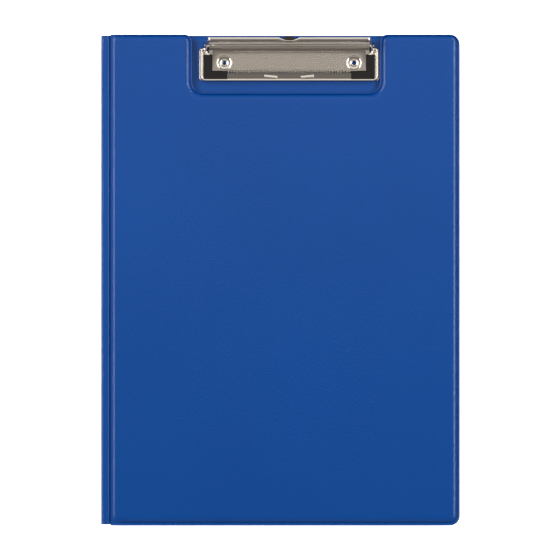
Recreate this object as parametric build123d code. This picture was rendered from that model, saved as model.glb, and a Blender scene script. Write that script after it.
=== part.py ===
from build123d import *
import math
import os

os.makedirs("parts", exist_ok=True)

# A foldover clipboard, closed and lying on its back. X runs to the free edge, Y to the clip, Z up.
# The origin is the middle of the outline on the surface that it lies on. Sizes are millimetres.

# Outline of the closed folder
overall_width = 232.5
overall_height = 318.0
cover_corner_radius = 6.3
spine_corner_radius = 0.5
back_inset = 0.3

# Sheet and board
skin_thickness = 0.3
weld_layer = 0.25
back_board_thickness = 2.0
cover_board_thickness = 2.0
board_edge_round = 0.8
closed_gap = 0.7

# Welded edge from each outline to its board
side_weld = 3.4
bottom_weld = 3.2
top_weld = 1.8
notch_weld = 3.0
notch_floor_weld = 1.9
spine_weld = 7.9
board_corner_radius = 3.0

# Spine strip and its two creases
panel_crease_gap = 0.45
strip_crease_gap = 0.4
strip_end_inset = 0.8

# Notch in the cover, round the clip
notch_shift = 2.05
notch_side_gap = 3.05
notch_front_gap = 8.0
notch_inner_radius = 7.5
notch_mouth_radius = 5.0

# Pocket inside the cover
pocket_film = 0.2
pocket_height = 150.0
pocket_margin = 1.5
pocket_dip = 12.0

# Clip, about the point of the board's face under the rod's axis
clip_centre_x = 5.8
rod_setback = 7.6
rod_height = 3.4
rod_radius = 0.85
rod_head_radius = 1.4
rod_head_length = 0.6
running_clearance = 0.05
piece_clearance = 0.15

# Base plate
plate_sheet = 0.6
plate_half_width = 50.0
plate_front = 16.8
plate_top = 2.2
plate_edge_round = 0.3
plate_corner_radius = 0.35
channel_inner_radius = 1.65
channel_rear_lip = 1.7

# Rivets, their dishes and their washers
rivet_inset = 7.95
rivet_setback = 10.6
rivet_hole_radius = 1.3
rivet_wall = 0.5
rivet_head_radius = 2.8
rivet_head_height = 0.7
dish_radius = 5.3
dish_floor_radius = 3.3
dish_sheet_run = 0.4
washer_radius = 5.0
washer_thickness = 0.5
clinch_radius = 3.0
clinch_height = 0.45
hole_clearance = 0.05

# Lever frame
lever_sheet = 0.8
jaw_plate_gap = 0.5
frame_rear = 1.2
frame_top = 2.4
frame_front_radius = 3.0
frame_rear_radius = 2.3
rim_round = 1.1
bead_width = 1.6
bead_height = 0.45
bead_inner_round = 0.3
jaw_width = 5.1
arm_plate_gap = 1.2
jaw_clearance = 0.1
ear_plate_gap = 4.4
ear_lean = 22.0
ear_foot_length = 4.2
ear_lobe_radius = 2.3
thumb_channel_gap = 0.9
thumb_front_setback = 0.85
thumb_step_height = 1.8
thumb_step_lean = 0.7
thumb_groove_depth = 0.75
thumb_rise = 2.35
thumb_rise_lean = 0.65
thumb_lip_depth = 0.8
thumb_hem = 0.9
thumb_bend_radius = 0.43
thumb_notch_width = 12.6
thumb_notch_depth = 1.2
emboss_half_width = 16.0
emboss_ramp = 8.2
emboss_height = 0.6
emboss_depth = 2.6
emboss_draft = 0.35

# Corner grips
grip_leg_width = 5.1
grip_jaw_leg = 15.3
grip_arm_leg = 16.0
grip_cap = 0.5
grip_rim_gap = 1.9
grip_front_gap = 0.1
grip_plate_gap = 0.3
grip_round = 0.35

# Torsion springs
spring_wire = 0.45
spring_turns = 5
spring_pitch = 0.98
spring_bore_clearance = 0.12
spring_place = 26.0
spring_plate_leg = 8.0
spring_lever_gap = 0.12
spring_bend_radius = 0.65

# Hanging tab
tab_thickness = 0.8
tab_half_width = 6.2
tab_length = 21.4
tab_tip = 6.2
tab_hole_radius = 2.0
tab_shoulder = 1.8
tab_shoulder_length = 1.8
tab_travel = 10.0
tab_guide_gap = 0.3
tab_guide_length = 1.5

# Levels and lines that follow from the sizes above
back_middle = skin_thickness + back_board_thickness / 2
board_face = 2 * skin_thickness + back_board_thickness
cover_under = board_face + closed_gap
cover_middle = cover_under + skin_thickness + cover_board_thickness / 2
crease_x = weld_layer - overall_width / 2
board_left = crease_x + spine_weld
panel_left = crease_x + panel_crease_gap
right = overall_width / 2
top = overall_height / 2
rod_y = top - rod_setback
channel_radius = channel_inner_radius + plate_sheet
grip_outer = plate_half_width + grip_plate_gap + grip_leg_width
frame_half_width = grip_outer + grip_rim_gap + lever_sheet
jaw_reach = plate_front + jaw_plate_gap + jaw_width
grip_front = lever_sheet + grip_front_gap - jaw_reach
ear_foot_x = plate_half_width + ear_plate_gap + lever_sheet / 2
rivet_half_spacing = plate_half_width - rivet_inset
notch_half_width = frame_half_width + notch_side_gap
notch_centre_x = clip_centre_x - notch_shift
notch_floor = top - rod_setback - jaw_reach - notch_front_gap
rivet_radius = rivet_hole_radius + rivet_wall
washer_z = clinch_height + skin_thickness
clip_place = Location((clip_centre_x, rod_y, board_face))


def between(x0, x1, y0, y1):
    """A rectangle given by its four sides."""
    return Location(((x0 + x1) / 2, (y0 + y1) / 2)) * Rectangle(x1 - x0, y1 - y0)


def block(x0, x1, y0, y1, z0, z1):
    """A box given by its six sides."""
    return Location((0, 0, z0)) * extrude(between(x0, x1, y0, y1), z1 - z0)


def corners_at(shape, x, y):
    """The corners of a flat shape that lie at x and y, either of which may be None."""
    found = shape.vertices()
    if x is not None:
        found = found.filter_by(lambda corner: abs(corner.X - x) < 1e-4)
    if y is not None:
        found = found.filter_by(lambda corner: abs(corner.Y - y) < 1e-4)
    return found


def panel_shape(left, right_side, bottom, top_side, left_radius, right_radius):
    """A panel's rectangle, rounded more at its free corners than at the spine."""
    shape = between(left, right_side, bottom, top_side)
    shape = fillet(corners_at(shape, right_side, None), right_radius)
    return fillet(corners_at(shape, left, None), left_radius)


def cut_notch(shape, top_side, grow, grow_front, inner_radius, mouth_radius):
    """Cuts the clip's notch, wider at its sides and its front as given, and rounds its mouth."""
    left = notch_centre_x - notch_half_width - grow
    right_side = notch_centre_x + notch_half_width + grow
    floor = notch_floor - grow_front
    notch = between(left, right_side, floor, 2 * top - floor)
    notch = fillet(corners_at(notch, None, floor), inner_radius)
    shape = shape - notch
    mouth = corners_at(shape, left, top_side) + corners_at(shape, right_side, top_side)
    return fillet(mouth, mouth_radius)


def rounded_slab(shape, low, high):
    """A slab whose two faces are rounded into its edge, as sheet drapes over a board."""
    slab = Location((0, 0, low)) * extrude(shape, high - low)
    levels = slab.edges().group_by(Axis.Z)
    return fillet(levels[0] + levels[-1], board_edge_round)


def welded_sheet(outline, board, middle, half_board, side):
    """One of a panel's two sheets: over the board's face and edge, then flat to the outline."""
    reach = half_board + skin_thickness
    crown = extrude(offset(board, skin_thickness), side * reach)
    far_edges = crown.edges().group_by(Axis.Z)[-1 if side > 0 else 0]
    crown = fillet(far_edges, board_edge_round + skin_thickness)
    hollow = extrude(board, side * half_board)
    far_edges = hollow.edges().group_by(Axis.Z)[-1 if side > 0 else 0]
    hollow = fillet(far_edges, board_edge_round)
    weld = extrude(outline, side * weld_layer)
    return Location((0, 0, middle)) * (crown + weld - hollow)


def mirrored(piece):
    """The same piece on the clip's other side."""
    return mirror(piece, about=Plane.YZ)


def back_outline():
    """The back panel's welded outline, a little inside the cover's."""
    inset_right = right - back_inset
    inset_top = top - back_inset
    return panel_shape(
        panel_left, inset_right, -inset_top, inset_top,
        spine_corner_radius, cover_corner_radius - back_inset,
    )


def back_board_shape():
    """The outline of the board in the back panel."""
    return panel_shape(
        board_left, right - side_weld, bottom_weld - top, top - top_weld,
        board_corner_radius, board_corner_radius,
    )


def cover_outline():
    """The cover's welded outline with its notch."""
    shape = panel_shape(panel_left, right, -top, top, spine_corner_radius, cover_corner_radius)
    return cut_notch(shape, top, 0, 0, notch_inner_radius, notch_mouth_radius)


def cover_board_shape():
    """The outline of the board in the cover."""
    top_side = top - top_weld
    shape = panel_shape(
        board_left, right - side_weld, bottom_weld - top, top_side,
        board_corner_radius, board_corner_radius,
    )
    inner_radius = notch_inner_radius + notch_floor_weld
    mouth_radius = notch_mouth_radius - top_weld
    return cut_notch(shape, top_side, notch_weld, notch_floor_weld, inner_radius, mouth_radius)


def at_rivets(piece):
    """Two copies of a piece, at the rivets."""
    places = [Location((side * rivet_half_spacing, -rivet_setback, 0)) for side in (-1, 1)]
    return [clip_place * place * piece for place in places]


def drilled(part, radius, low, high):
    """A part with a hole at each rivet, from low to high above the board's face."""
    drill = Location((0, 0, low)) * extrude(Circle(radius), high - low)
    for hole in at_rivets(drill):
        part = part - hole
    return part


def make_back_stiffener():
    """Greyboard, with a counterbore below for each rivet's washer and clinched end."""
    through = board_face + 1
    board = rounded_slab(back_board_shape(), skin_thickness, skin_thickness + back_board_thickness)
    board = drilled(board, rivet_radius + hole_clearance, -through, 1)
    washer_top = washer_z + washer_thickness - board_face
    return drilled(board, washer_radius + hole_clearance, -through, washer_top)


def make_back_skin():
    """The outer sheet of the back panel, which the folder lies on."""
    half_board = back_board_thickness / 2
    return welded_sheet(back_outline(), back_board_shape(), back_middle, half_board, -1)


def make_board_lining():
    """The sheet on the writing side of the back panel."""
    half_board = back_board_thickness / 2
    sheet = welded_sheet(back_outline(), back_board_shape(), back_middle, half_board, 1)
    return drilled(sheet, rivet_radius + hole_clearance, -1, 1)


def make_cover_stiffener():
    """Greyboard in the cover, cut out round the clip."""
    low = cover_under + skin_thickness
    return rounded_slab(cover_board_shape(), low, low + cover_board_thickness)


def make_cover_sheet(side):
    """The cover's outer skin above its board, or its lining below."""
    half_board = cover_board_thickness / 2
    return welded_sheet(cover_outline(), cover_board_shape(), cover_middle, half_board, side)


def make_inner_pocket():
    """A paper pocket of thin film under the cover's lining, its mouth cut to a shallow curve."""
    left = board_left + pocket_margin
    right_side = right - side_weld - pocket_margin
    bottom = bottom_weld + pocket_margin - top
    mouth = bottom + pocket_height
    middle = (left + right_side) / 2
    edge = Polyline((left, mouth), (left, bottom), (right_side, bottom), (right_side, mouth))
    curve = ThreePointArc((right_side, mouth), (middle, mouth - pocket_dip), (left, mouth))
    film = extrude(make_face(edge + curve), pocket_film)
    return Location((0, 0, cover_under - pocket_film)) * film


def make_spine_sheet(inner):
    """The fold's outer skin, or its lining, between the two creases."""
    low = back_middle + strip_crease_gap
    high = cover_middle - strip_crease_gap
    reach = top - strip_end_inset
    start = crease_x if inner else crease_x - weld_layer
    return block(start, start + weld_layer, -reach, reach, low, high)


def plate_outline(inset, rear):
    """The base plate seen from above, set back at its front corners for the grips."""
    half = plate_half_width - inset
    front = -plate_front + inset
    step_x = grip_outer - grip_jaw_leg - grip_plate_gap - inset
    step_y = grip_front + grip_leg_width + grip_plate_gap + inset
    shape = between(-half, half, step_y, rear) + between(-step_x, step_x, front, rear)
    corners = corners_at(shape, None, front) + corners_at(shape, -half, step_y)
    return fillet(corners + corners_at(shape, half, step_y), plate_corner_radius)


def channel_shape(radius, low):
    """The channel's section: a round top on straight sides, down to low."""
    section = Location((0, rod_height)) * Circle(radius) + between(-radius, radius, low, rod_height)
    return section - between(-2 * radius, 2 * radius, low - 2 * radius, low)


def along_clip(section, x0, x1):
    """A section of Y and Z, extruded along the clip from x0 to x1."""
    plane = Plane(origin=(x0, 0, 0), x_dir=(0, 1, 0), z_dir=(1, 0, 0))
    return extrude(plane * section, x1 - x0)


def make_dish():
    """The sheet of one dish, from the plate's top down to the board, with the rivet's hole."""
    hole = rivet_radius + hole_clearance
    floor_top = plate_sheet
    under = plate_top - plate_sheet
    section = make_face(Polyline(
        (hole, 0), (dish_floor_radius, 0), (dish_radius, under), (dish_radius, plate_top),
        (dish_radius - dish_sheet_run, plate_top), (dish_floor_radius - dish_sheet_run, floor_top),
        (hole, floor_top),
        close=True,
    ))
    return revolve(Plane.XZ * section, Axis.Z)


def make_clip_base_plate():
    """Steel plate raised off the board on its turned-down edge, rolled up over the rod at its rear."""
    rear = -channel_inner_radius
    solid = extrude(plate_outline(0, 0), plate_top)
    rims = solid.edges().group_by(Axis.Z)[-1].filter_by(lambda edge: edge.center().Y < -1)
    solid = fillet(rims, plate_edge_round)
    hollow = extrude(plate_outline(plate_sheet, 2), plate_top - plate_sheet)
    plate = solid - hollow - block(-frame_half_width, frame_half_width, rear, 5, -1, 5)
    half = plate_half_width
    outer = along_clip(channel_shape(channel_radius, channel_rear_lip), -half, half)
    inner = along_clip(channel_shape(channel_inner_radius, 0), -half, half)
    low_front = block(-half, half, -channel_radius, -channel_inner_radius, 0, plate_top - plate_sheet)
    plate = plate + (outer - inner - low_front)
    for side in (-1, 1):
        x0 = min(side * half, side * (half - plate_sheet))
        plate = plate + along_clip(channel_shape(channel_radius, 0), x0, x0 + plate_sheet)
    bore = along_clip(Location((0, rod_height)) * Circle(rod_radius + running_clearance), -half, half)
    plate = plate - bore
    for side in (-1, 1):
        place = Location((side * rivet_half_spacing, -rivet_setback, 0))
        plate = plate - place * extrude(Circle(dish_radius), plate_top)
        plate = plate + place * make_dish()
    guide_x = tab_half_width + tab_guide_gap
    guide_y = tab_tip - tab_length + tab_shoulder_length + tab_travel + running_clearance
    for side in (-1, 1):
        x0 = min(side * guide_x, side * (guide_x + plate_sheet))
        height = plate_top - plate_sheet
        plate = plate + block(x0, x0 + plate_sheet, guide_y, guide_y + tab_guide_length, 0, height)
    return clip_place * plate


def make_hinge_rod():
    """The rod, headed outside the lever's ears."""
    ear_outside = ear_x(rod_height) + lever_sheet / 2 / math.cos(math.radians(ear_lean))
    shank = ear_outside + rod_head_radius * math.tan(math.radians(ear_lean)) + running_clearance
    centre = Location((0, rod_height))
    rod = along_clip(centre * Circle(rod_radius), -shank, shank)
    head = along_clip(centre * Circle(rod_head_radius), shank, shank + rod_head_length)
    end = head.faces().sort_by(Axis.X)[-1]
    head = fillet(end.edges(), rod_head_length * 0.6)
    return clip_place * (rod + head + mirrored(head))


def ear_x(height):
    """How far out the middle of an ear's sheet is, at a height above the board."""
    return ear_foot_x - (height - frame_top) * math.tan(math.radians(ear_lean))


def frame_outline(inset):
    """The lever frame seen from above, without its window."""
    half = frame_half_width - inset
    front = -jaw_reach + inset
    rear = -frame_rear - inset
    shape = between(-half, half, front, rear)
    shape = fillet(corners_at(shape, None, front), frame_front_radius - inset)
    return fillet(corners_at(shape, None, rear), frame_rear_radius - inset)


def make_frame():
    """Jaw bar and side arms: a web whose outer edge is rolled into a bead and curved down."""
    bead_top = frame_top + bead_height
    solid = Location((0, 0, jaw_clearance)) * extrude(frame_outline(0), bead_top - jaw_clearance)
    solid = fillet(solid.edges().group_by(Axis.Z)[-1], rim_round)
    solid = solid - Location((0, 0, frame_top)) * extrude(frame_outline(bead_width), 2 * bead_height)
    solid = fillet(solid.edges().group_by(Axis.Z)[-1], bead_inner_round)
    hollow = extrude(frame_outline(lever_sheet), frame_top - lever_sheet)
    hollow = fillet(hollow.edges().group_by(Axis.Z)[-1], lever_sheet / 2)
    window_half = plate_half_width + arm_plate_gap
    jaw_rear = -jaw_reach + jaw_width
    ear_window = ear_foot_x - lever_sheet / 2
    window = between(-window_half, window_half, jaw_rear, 0)
    window = fillet(corners_at(window, None, jaw_rear), lever_sheet)
    window = window + between(-ear_window, ear_window, -ear_foot_length, 0)
    return solid - hollow - extrude(window, frame_top + 1)


def thumb_points():
    """The middle line of the thumb lever's sheet: step, groove, rise, rolled lip and hem."""
    y = channel_radius - thumb_front_setback
    z = rod_height + channel_radius + lever_sheet / 2
    z = z + thumb_channel_gap - lever_sheet
    points = [(y, z)]
    steps = [
        (thumb_step_lean, thumb_step_height),
        (thumb_groove_depth, 0.05),
        (thumb_rise_lean, thumb_rise),
        (thumb_lip_depth, 0),
        (0.05, -thumb_hem),
    ]
    for step_y, step_z in steps:
        y = y + step_y
        z = z + step_z
        points.append((y, z))
    return points


def make_ear():
    """The right ear: up from the arm, round the rod and on to the thumb lever."""
    foot_round = lever_sheet / 2
    lobe = Location((0, rod_height)) * Circle(ear_lobe_radius)
    points = thumb_points()
    shoulder = Location(points[0]) * Circle(lever_sheet / 2)
    lip = Location((points[3][0], points[3][1] - lever_sheet / 2)) * Circle(lever_sheet)
    foot_low = Location((foot_round - ear_foot_length, frame_top - lever_sheet / 2)) * Circle(foot_round)
    foot_high = Location((foot_round - ear_foot_length, frame_top)) * Circle(foot_round)
    upper = make_hull(lobe.edges() + shoulder.edges() + lip.edges())
    lower = make_hull(lobe.edges() + foot_low.edges() + foot_high.edges())
    section = upper + lower
    ear = along_clip(section, -lever_sheet / 2, lever_sheet / 2)
    lean = Location((ear_foot_x, 0, frame_top)) * Rotation(0, -ear_lean, 0) * Location((0, 0, -frame_top))
    return lean * ear


def make_thumb_lever():
    """The thumb lever: a step, a groove, a steep rise and a rolled lip, between the ears."""
    points = thumb_points()
    line = FilletPolyline(*points, radius=thumb_bend_radius)
    section = make_face(offset(line, lever_sheet / 2, side=Side.BOTH))
    bar = along_clip(section, -frame_half_width, frame_half_width)
    low_z = points[0][1] - 2 * lever_sheet
    high_z = points[3][1] + 2 * lever_sheet
    low_x = ear_x(low_z)
    high_x = ear_x(high_z)
    sides = Polyline((-low_x, low_z), (low_x, low_z), (high_x, high_z), (-high_x, high_z), close=True)
    bar = bar & extrude(Plane.XZ * make_face(sides), jaw_reach, both=True)
    tip = points[4][0] + lever_sheet / 2
    half = thumb_notch_width / 2
    radius = (half * half + thumb_notch_depth * thumb_notch_depth) / (2 * thumb_notch_depth)
    place = Location((0, tip - thumb_notch_depth + radius, 0))
    notch = place * extrude(Circle(radius), 2 * high_z)
    return bar - notch


def make_emboss():
    """The raised middle of the jaw bar, ramped down at both ends."""
    middle = (grip_front - jaw_reach + jaw_width) / 2
    foot = Location((0, middle, frame_top - running_clearance)) * Rectangle(
        2 * emboss_half_width, emboss_depth
    )
    crest = Location((0, middle, frame_top + emboss_height)) * Rectangle(
        2 * (emboss_half_width - emboss_ramp), emboss_depth - 2 * emboss_draft
    )
    return loft([foot.face(), crest.face()])


def make_clip_lever():
    """Jaw, arms, ears and thumb lever, stamped from one sheet."""
    ear = make_ear()
    lever = make_frame() + ear + mirrored(ear) + make_thumb_lever() + make_emboss()
    reach = frame_half_width
    bore = along_clip(Location((0, rod_height)) * Circle(rod_radius + running_clearance), -reach, reach)
    return clip_place * (lever - bore)


def make_corner_grip(lever, side):
    """A rubber L pushed over the web's inner edge, down to the board in front of the plate."""
    inner = plate_half_width + grip_plate_gap
    arm_leg = between(inner, grip_outer, grip_front, grip_front + grip_arm_leg)
    jaw_end = grip_outer - grip_jaw_leg
    jaw_leg = between(jaw_end, grip_outer, grip_front, grip_front + grip_leg_width)
    shape = arm_leg + jaw_leg
    grip = Location((0, 0, piece_clearance)) * extrude(shape, frame_top + grip_cap - piece_clearance)
    grip = fillet(grip.edges().group_by(Axis.Z)[-1], grip_round)
    if side < 0:
        grip = mirrored(grip)
    return clip_place * grip - lever


def make_rivet():
    """A hollow rivet: domed head in the dish, plain shank, clinched end under the washer."""
    low = skin_thickness - board_face
    head = plate_sheet + rivet_head_height
    clinch_top = low + clinch_height
    section = make_face(Polyline(
        (rivet_hole_radius, low), (clinch_radius, low), (clinch_radius, clinch_top),
        (rivet_radius, clinch_top), (rivet_radius, plate_sheet), (rivet_head_radius, plate_sheet),
        (rivet_head_radius, head), (rivet_hole_radius, head), close=True,
    ))
    section = fillet(corners_at(section, rivet_head_radius, head), rivet_head_height * 0.7)
    section = fillet(corners_at(section, rivet_hole_radius, head), rivet_wall * 0.9)
    return revolve(Plane.XZ * section, Axis.Z)


def make_washer():
    """The washer that a rivet is clinched over."""
    ring = Circle(washer_radius) - Circle(rivet_radius + hole_clearance)
    return Location((0, 0, washer_z - board_face)) * extrude(ring, washer_thickness)


def biarc(start, start_way, end, end_way):
    """Two arcs from start to end that leave and arrive along the given unit directions."""
    chord = end - start
    ways = start_way + end_way
    along = chord.dot(ways)
    spread = 2 * (1 - start_way.dot(end_way))
    if abs(spread) < 1e-9:
        reach = chord.dot(chord) / (2 * along)
    else:
        reach = (math.sqrt(along * along + spread * chord.dot(chord)) - along) / spread
    middle = (start + start_way * reach + end - end_way * reach) * 0.5
    first = Edge.make_tangent_arc(start, start_way, middle)
    second = Edge.make_tangent_arc(middle, first % 1, end)
    return [first, second]


def make_torsion_spring(side):
    """A coil on the rod, one leg forward under the plate and one up behind the thumb lever."""
    radius = rod_radius + spring_bore_clearance + spring_wire / 2
    rise = spring_pitch / (2 * math.pi)
    slope = math.hypot(radius, rise)

    def at(angle):
        x = spring_place + rise * angle
        return Vector(x, -radius * math.cos(angle), rod_height + radius * math.sin(angle))

    def way(angle):
        return Vector(rise, radius * math.sin(angle), radius * math.cos(angle)) * (1 / slope)

    bend = spring_bend_radius
    up = Vector(0, 0, 1)
    back = Vector(0, 1, 0)
    leg_drop = spring_wire / 2 + piece_clearance
    front_z = plate_top - plate_sheet - leg_drop
    rear_z = channel_rear_lip - leg_drop - piece_clearance
    first_x = at(0).X
    last_angle = math.pi * (2 * spring_turns + 1)
    last_x = at(last_angle).X
    front_bend = Vector(first_x, -radius - bend, front_z)
    front_top = Vector(first_x, -radius, front_z + bend)
    rear_top = Vector(last_x, radius, rear_z + bend)
    rear_bend = Vector(last_x, radius + bend, rear_z)
    hem_y, hem_z = thumb_points()[5]
    lever_y = hem_y - (lever_sheet + spring_wire) / 2 - spring_lever_gap
    lever_bend = Vector(last_x, lever_y - bend, rear_z)
    lever_foot = Vector(last_x, lever_y, rear_z + bend)
    edges = [
        Edge.make_line(Vector(first_x, -spring_plate_leg, front_z), front_bend),
        Edge.make_tangent_arc(front_bend, back, front_top),
    ]
    edges += biarc(front_top, up, at(math.pi / 2), way(math.pi / 2))
    for half_turn in range(2 * spring_turns):
        start = math.pi * (half_turn + 0.5)
        edges += biarc(at(start), way(start), at(start + math.pi), way(start + math.pi))
    final = last_angle - math.pi / 2
    edges += biarc(at(final), way(final), rear_top, up * -1)
    edges += [
        Edge.make_tangent_arc(rear_top, up * -1, rear_bend),
        Edge.make_line(rear_bend, lever_bend),
        Edge.make_tangent_arc(lever_bend, back, lever_foot),
        Edge.make_line(lever_foot, Vector(last_x, lever_y, hem_z - lever_sheet)),
    ]
    path = Wire(edges)
    end = Plane(origin=path @ 0, z_dir=path % 0)
    spring = sweep(end * Circle(spring_wire / 2), path=path)
    print(f"torsion spring: gap to itself {least_gap(path):.2f} mm")
    if side < 0:
        spring = mirrored(spring)
    return clip_place * spring


def least_gap(path):
    """The least gap between stretches of wire that lie over a quarter turn apart, on points."""
    count = 400
    points = [path @ (step / count) for step in range(count + 1)]
    apart = int(count * math.pi / 2 * 2 * rod_radius / path.length) + 1
    gaps = [
        (points[one] - points[other]).length
        for one in range(count)
        for other in range(one + 2 * apart, count + 1)
    ]
    return min(gaps) - spring_wire


def make_hanging_tab():
    """A round-ended strip that slides out from under the plate, with shoulders that stop it."""
    front = tab_tip - tab_length
    shape = between(-tab_half_width, tab_half_width, front, tab_tip - tab_half_width)
    shape = shape + Location((0, tab_tip - tab_half_width)) * Circle(tab_half_width)
    wide = tab_half_width + tab_shoulder
    shape = shape + between(-wide, wide, front, front + tab_shoulder_length)
    shape = shape - Location((0, tab_tip - tab_half_width)) * Circle(tab_hole_radius)
    tab = Location((0, 0, piece_clearance)) * extrude(shape, tab_thickness)
    return clip_place * tab


def write(name, solids):
    """Writes one sub-part, made of one solid or of several separate ones."""
    if isinstance(solids, list):
        solids = Compound(children=[piece for part in solids for piece in part.solids()])
    export_step(solids, f"parts/{name}.step")


lever = make_clip_lever()
write("back_stiffener", make_back_stiffener())
write("back_skin", make_back_skin())
write("board_lining", make_board_lining())
write("cover_stiffener", make_cover_stiffener())
write("cover_skin", make_cover_sheet(1))
write("cover_lining", make_cover_sheet(-1))
write("inner_pocket", make_inner_pocket())
write("spine_skin", make_spine_sheet(False))
write("spine_lining", make_spine_sheet(True))
write("clip_base_plate", make_clip_base_plate())
write("hinge_rod", make_hinge_rod())
write("clip_lever", lever)
write("corner_grip_left", make_corner_grip(lever, -1))
write("corner_grip_right", make_corner_grip(lever, 1))
write("clip_rivets", at_rivets(make_rivet()))
write("rivet_washers", at_rivets(make_washer()))
write("torsion_spring_left", make_torsion_spring(-1))
write("torsion_spring_right", make_torsion_spring(1))
write("hanging_tab", make_hanging_tab())
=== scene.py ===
import bpy
import bmesh
import math
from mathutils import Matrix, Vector, noise


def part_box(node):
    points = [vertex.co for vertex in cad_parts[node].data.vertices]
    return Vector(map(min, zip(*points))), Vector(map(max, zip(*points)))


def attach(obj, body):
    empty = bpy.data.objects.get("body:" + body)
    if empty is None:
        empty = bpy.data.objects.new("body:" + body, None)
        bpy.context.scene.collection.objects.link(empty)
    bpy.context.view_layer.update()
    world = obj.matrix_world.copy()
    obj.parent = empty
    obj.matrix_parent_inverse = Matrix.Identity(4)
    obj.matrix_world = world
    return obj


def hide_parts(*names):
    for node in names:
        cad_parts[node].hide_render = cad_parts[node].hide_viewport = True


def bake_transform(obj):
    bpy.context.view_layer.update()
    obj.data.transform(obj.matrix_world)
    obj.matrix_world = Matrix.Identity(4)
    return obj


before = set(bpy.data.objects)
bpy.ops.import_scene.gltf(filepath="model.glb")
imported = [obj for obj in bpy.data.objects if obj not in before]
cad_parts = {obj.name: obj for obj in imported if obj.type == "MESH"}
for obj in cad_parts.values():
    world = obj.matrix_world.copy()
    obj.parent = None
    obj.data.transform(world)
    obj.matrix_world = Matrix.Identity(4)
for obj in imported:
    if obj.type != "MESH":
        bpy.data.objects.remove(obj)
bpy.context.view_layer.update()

# Camera: it looks straight down at the folder's middle, as the photograph does, from 1.1 m.
# The lens is set so that the picture is 362.4 mm wide at the cover's face. The pieces below are
# drawn in millimetres.
MM = 0.001
cover_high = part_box("cover_skin")[1]
view_height = 1.1
view_x = -0.15 * MM
frame_width = 0.3624
sensor = 36.0
camera_data = bpy.data.cameras.new("camera")
camera_data.sensor_width = sensor
camera_data.lens = sensor * view_height / frame_width
camera = bpy.data.objects.new("camera", camera_data)
camera.location = (view_x, 0, cover_high[2] + view_height)
bpy.context.scene.collection.objects.link(camera)
bpy.context.scene.camera = camera

# Back panel: a greyboard stiffener between two blue PVC sheets, welded together round the edge.
# The sheets drape over the board's edge and are pressed thin in the weld, so a groove runs round
# the panel. The outline, the draped sheet and the embossed PVC are the same for all panels.


def linear(hex_colour):
    """An sRGB hex colour as linear RGBA."""
    parts = [int(hex_colour[i : i + 2], 16) / 255 for i in (1, 3, 5)]
    return tuple(c / 12.92 if c < 0.04045 else ((c + 0.055) / 1.055) ** 2.4 for c in parts) + (1,)


def add_node(tree, kind, links=None, **settings):
    """Adds a node; settings name its properties or, where it has none so named, its inputs."""
    node = tree.nodes.new(kind)
    for name, value in settings.items():
        if hasattr(node, name):
            setattr(node, name, value)
        else:
            node.inputs[name.replace("_", " ")].default_value = value
    for name, source in (links or {}).items():
        tree.links.new(source, node.inputs[name])
    return node


def new_material(name):
    """A material with an empty Principled shader, its tree and the shader."""
    material = bpy.data.materials.new(name)
    material.use_nodes = True
    shader = material.node_tree.nodes["Principled BSDF"]
    return material, material.node_tree, shader


def embossed_pvc(name, deep, pale, grain_mm=0.85, depth=0.12):
    """Calendered PVC with a fine pebble grain: a satin sheen that the grain breaks up."""
    material, tree, shader = new_material(name)
    place = add_node(tree, "ShaderNodeTexCoord").outputs["Object"]
    pebble = add_node(
        tree, "ShaderNodeTexVoronoi", {"Vector": place}, feature="SMOOTH_F1", Scale=1000 / grain_mm
    )
    fine = add_node(tree, "ShaderNodeTexNoise", {"Vector": place}, Scale=1000 / 0.6, Detail=2.0)
    cloud = add_node(tree, "ShaderNodeTexNoise", {"Vector": place}, Scale=9.0, Detail=3.0)
    tint = add_node(tree, "ShaderNodeMix", {"Factor": cloud.outputs["Fac"]}, data_type="RGBA")
    tint.inputs["A"].default_value = linear(deep)
    tint.inputs["B"].default_value = linear(pale)
    relief = add_node(
        tree, "ShaderNodeMath",
        {0: pebble.outputs["Distance"], 1: fine.outputs["Fac"]}, operation="ADD",
    )
    bump = add_node(
        tree, "ShaderNodeBump", {"Height": relief.outputs[0]}, Strength=0.5, Distance=depth * MM
    )
    tree.links.new(tint.outputs["Result"], shader.inputs["Base Color"])
    tree.links.new(bump.outputs["Normal"], shader.inputs["Normal"])
    shader.inputs["Roughness"].default_value = 0.26
    shader.inputs["Specular IOR Level"].default_value = 0.3
    return material


def break_edges(piece, width, crease):
    """Bevels a piece's sharp edges, as pressing and plating leave them."""
    edge = piece.modifiers.new("edge", "BEVEL")
    edge.width = width * MM
    edge.segments = 2
    edge.limit_method = "ANGLE"
    edge.angle_limit = math.radians(crease)


def shade_smooth(piece, crease):
    """Smooth shading, but for the creases sharper than an angle."""
    piece.data.polygons.foreach_set("use_smooth", [True] * len(piece.data.polygons))
    piece.data.set_sharp_from_angle(angle=math.radians(crease))


def ring_faces(rows, count):
    """Quads that join closed rings of points, each ring to the next."""
    faces = []
    for row in range(rows - 1):
        for i in range(count):
            a = row * count + i
            b = row * count + (i + 1) % count
            faces.append((a, b, b + count, a + count))
    return faces


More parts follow.
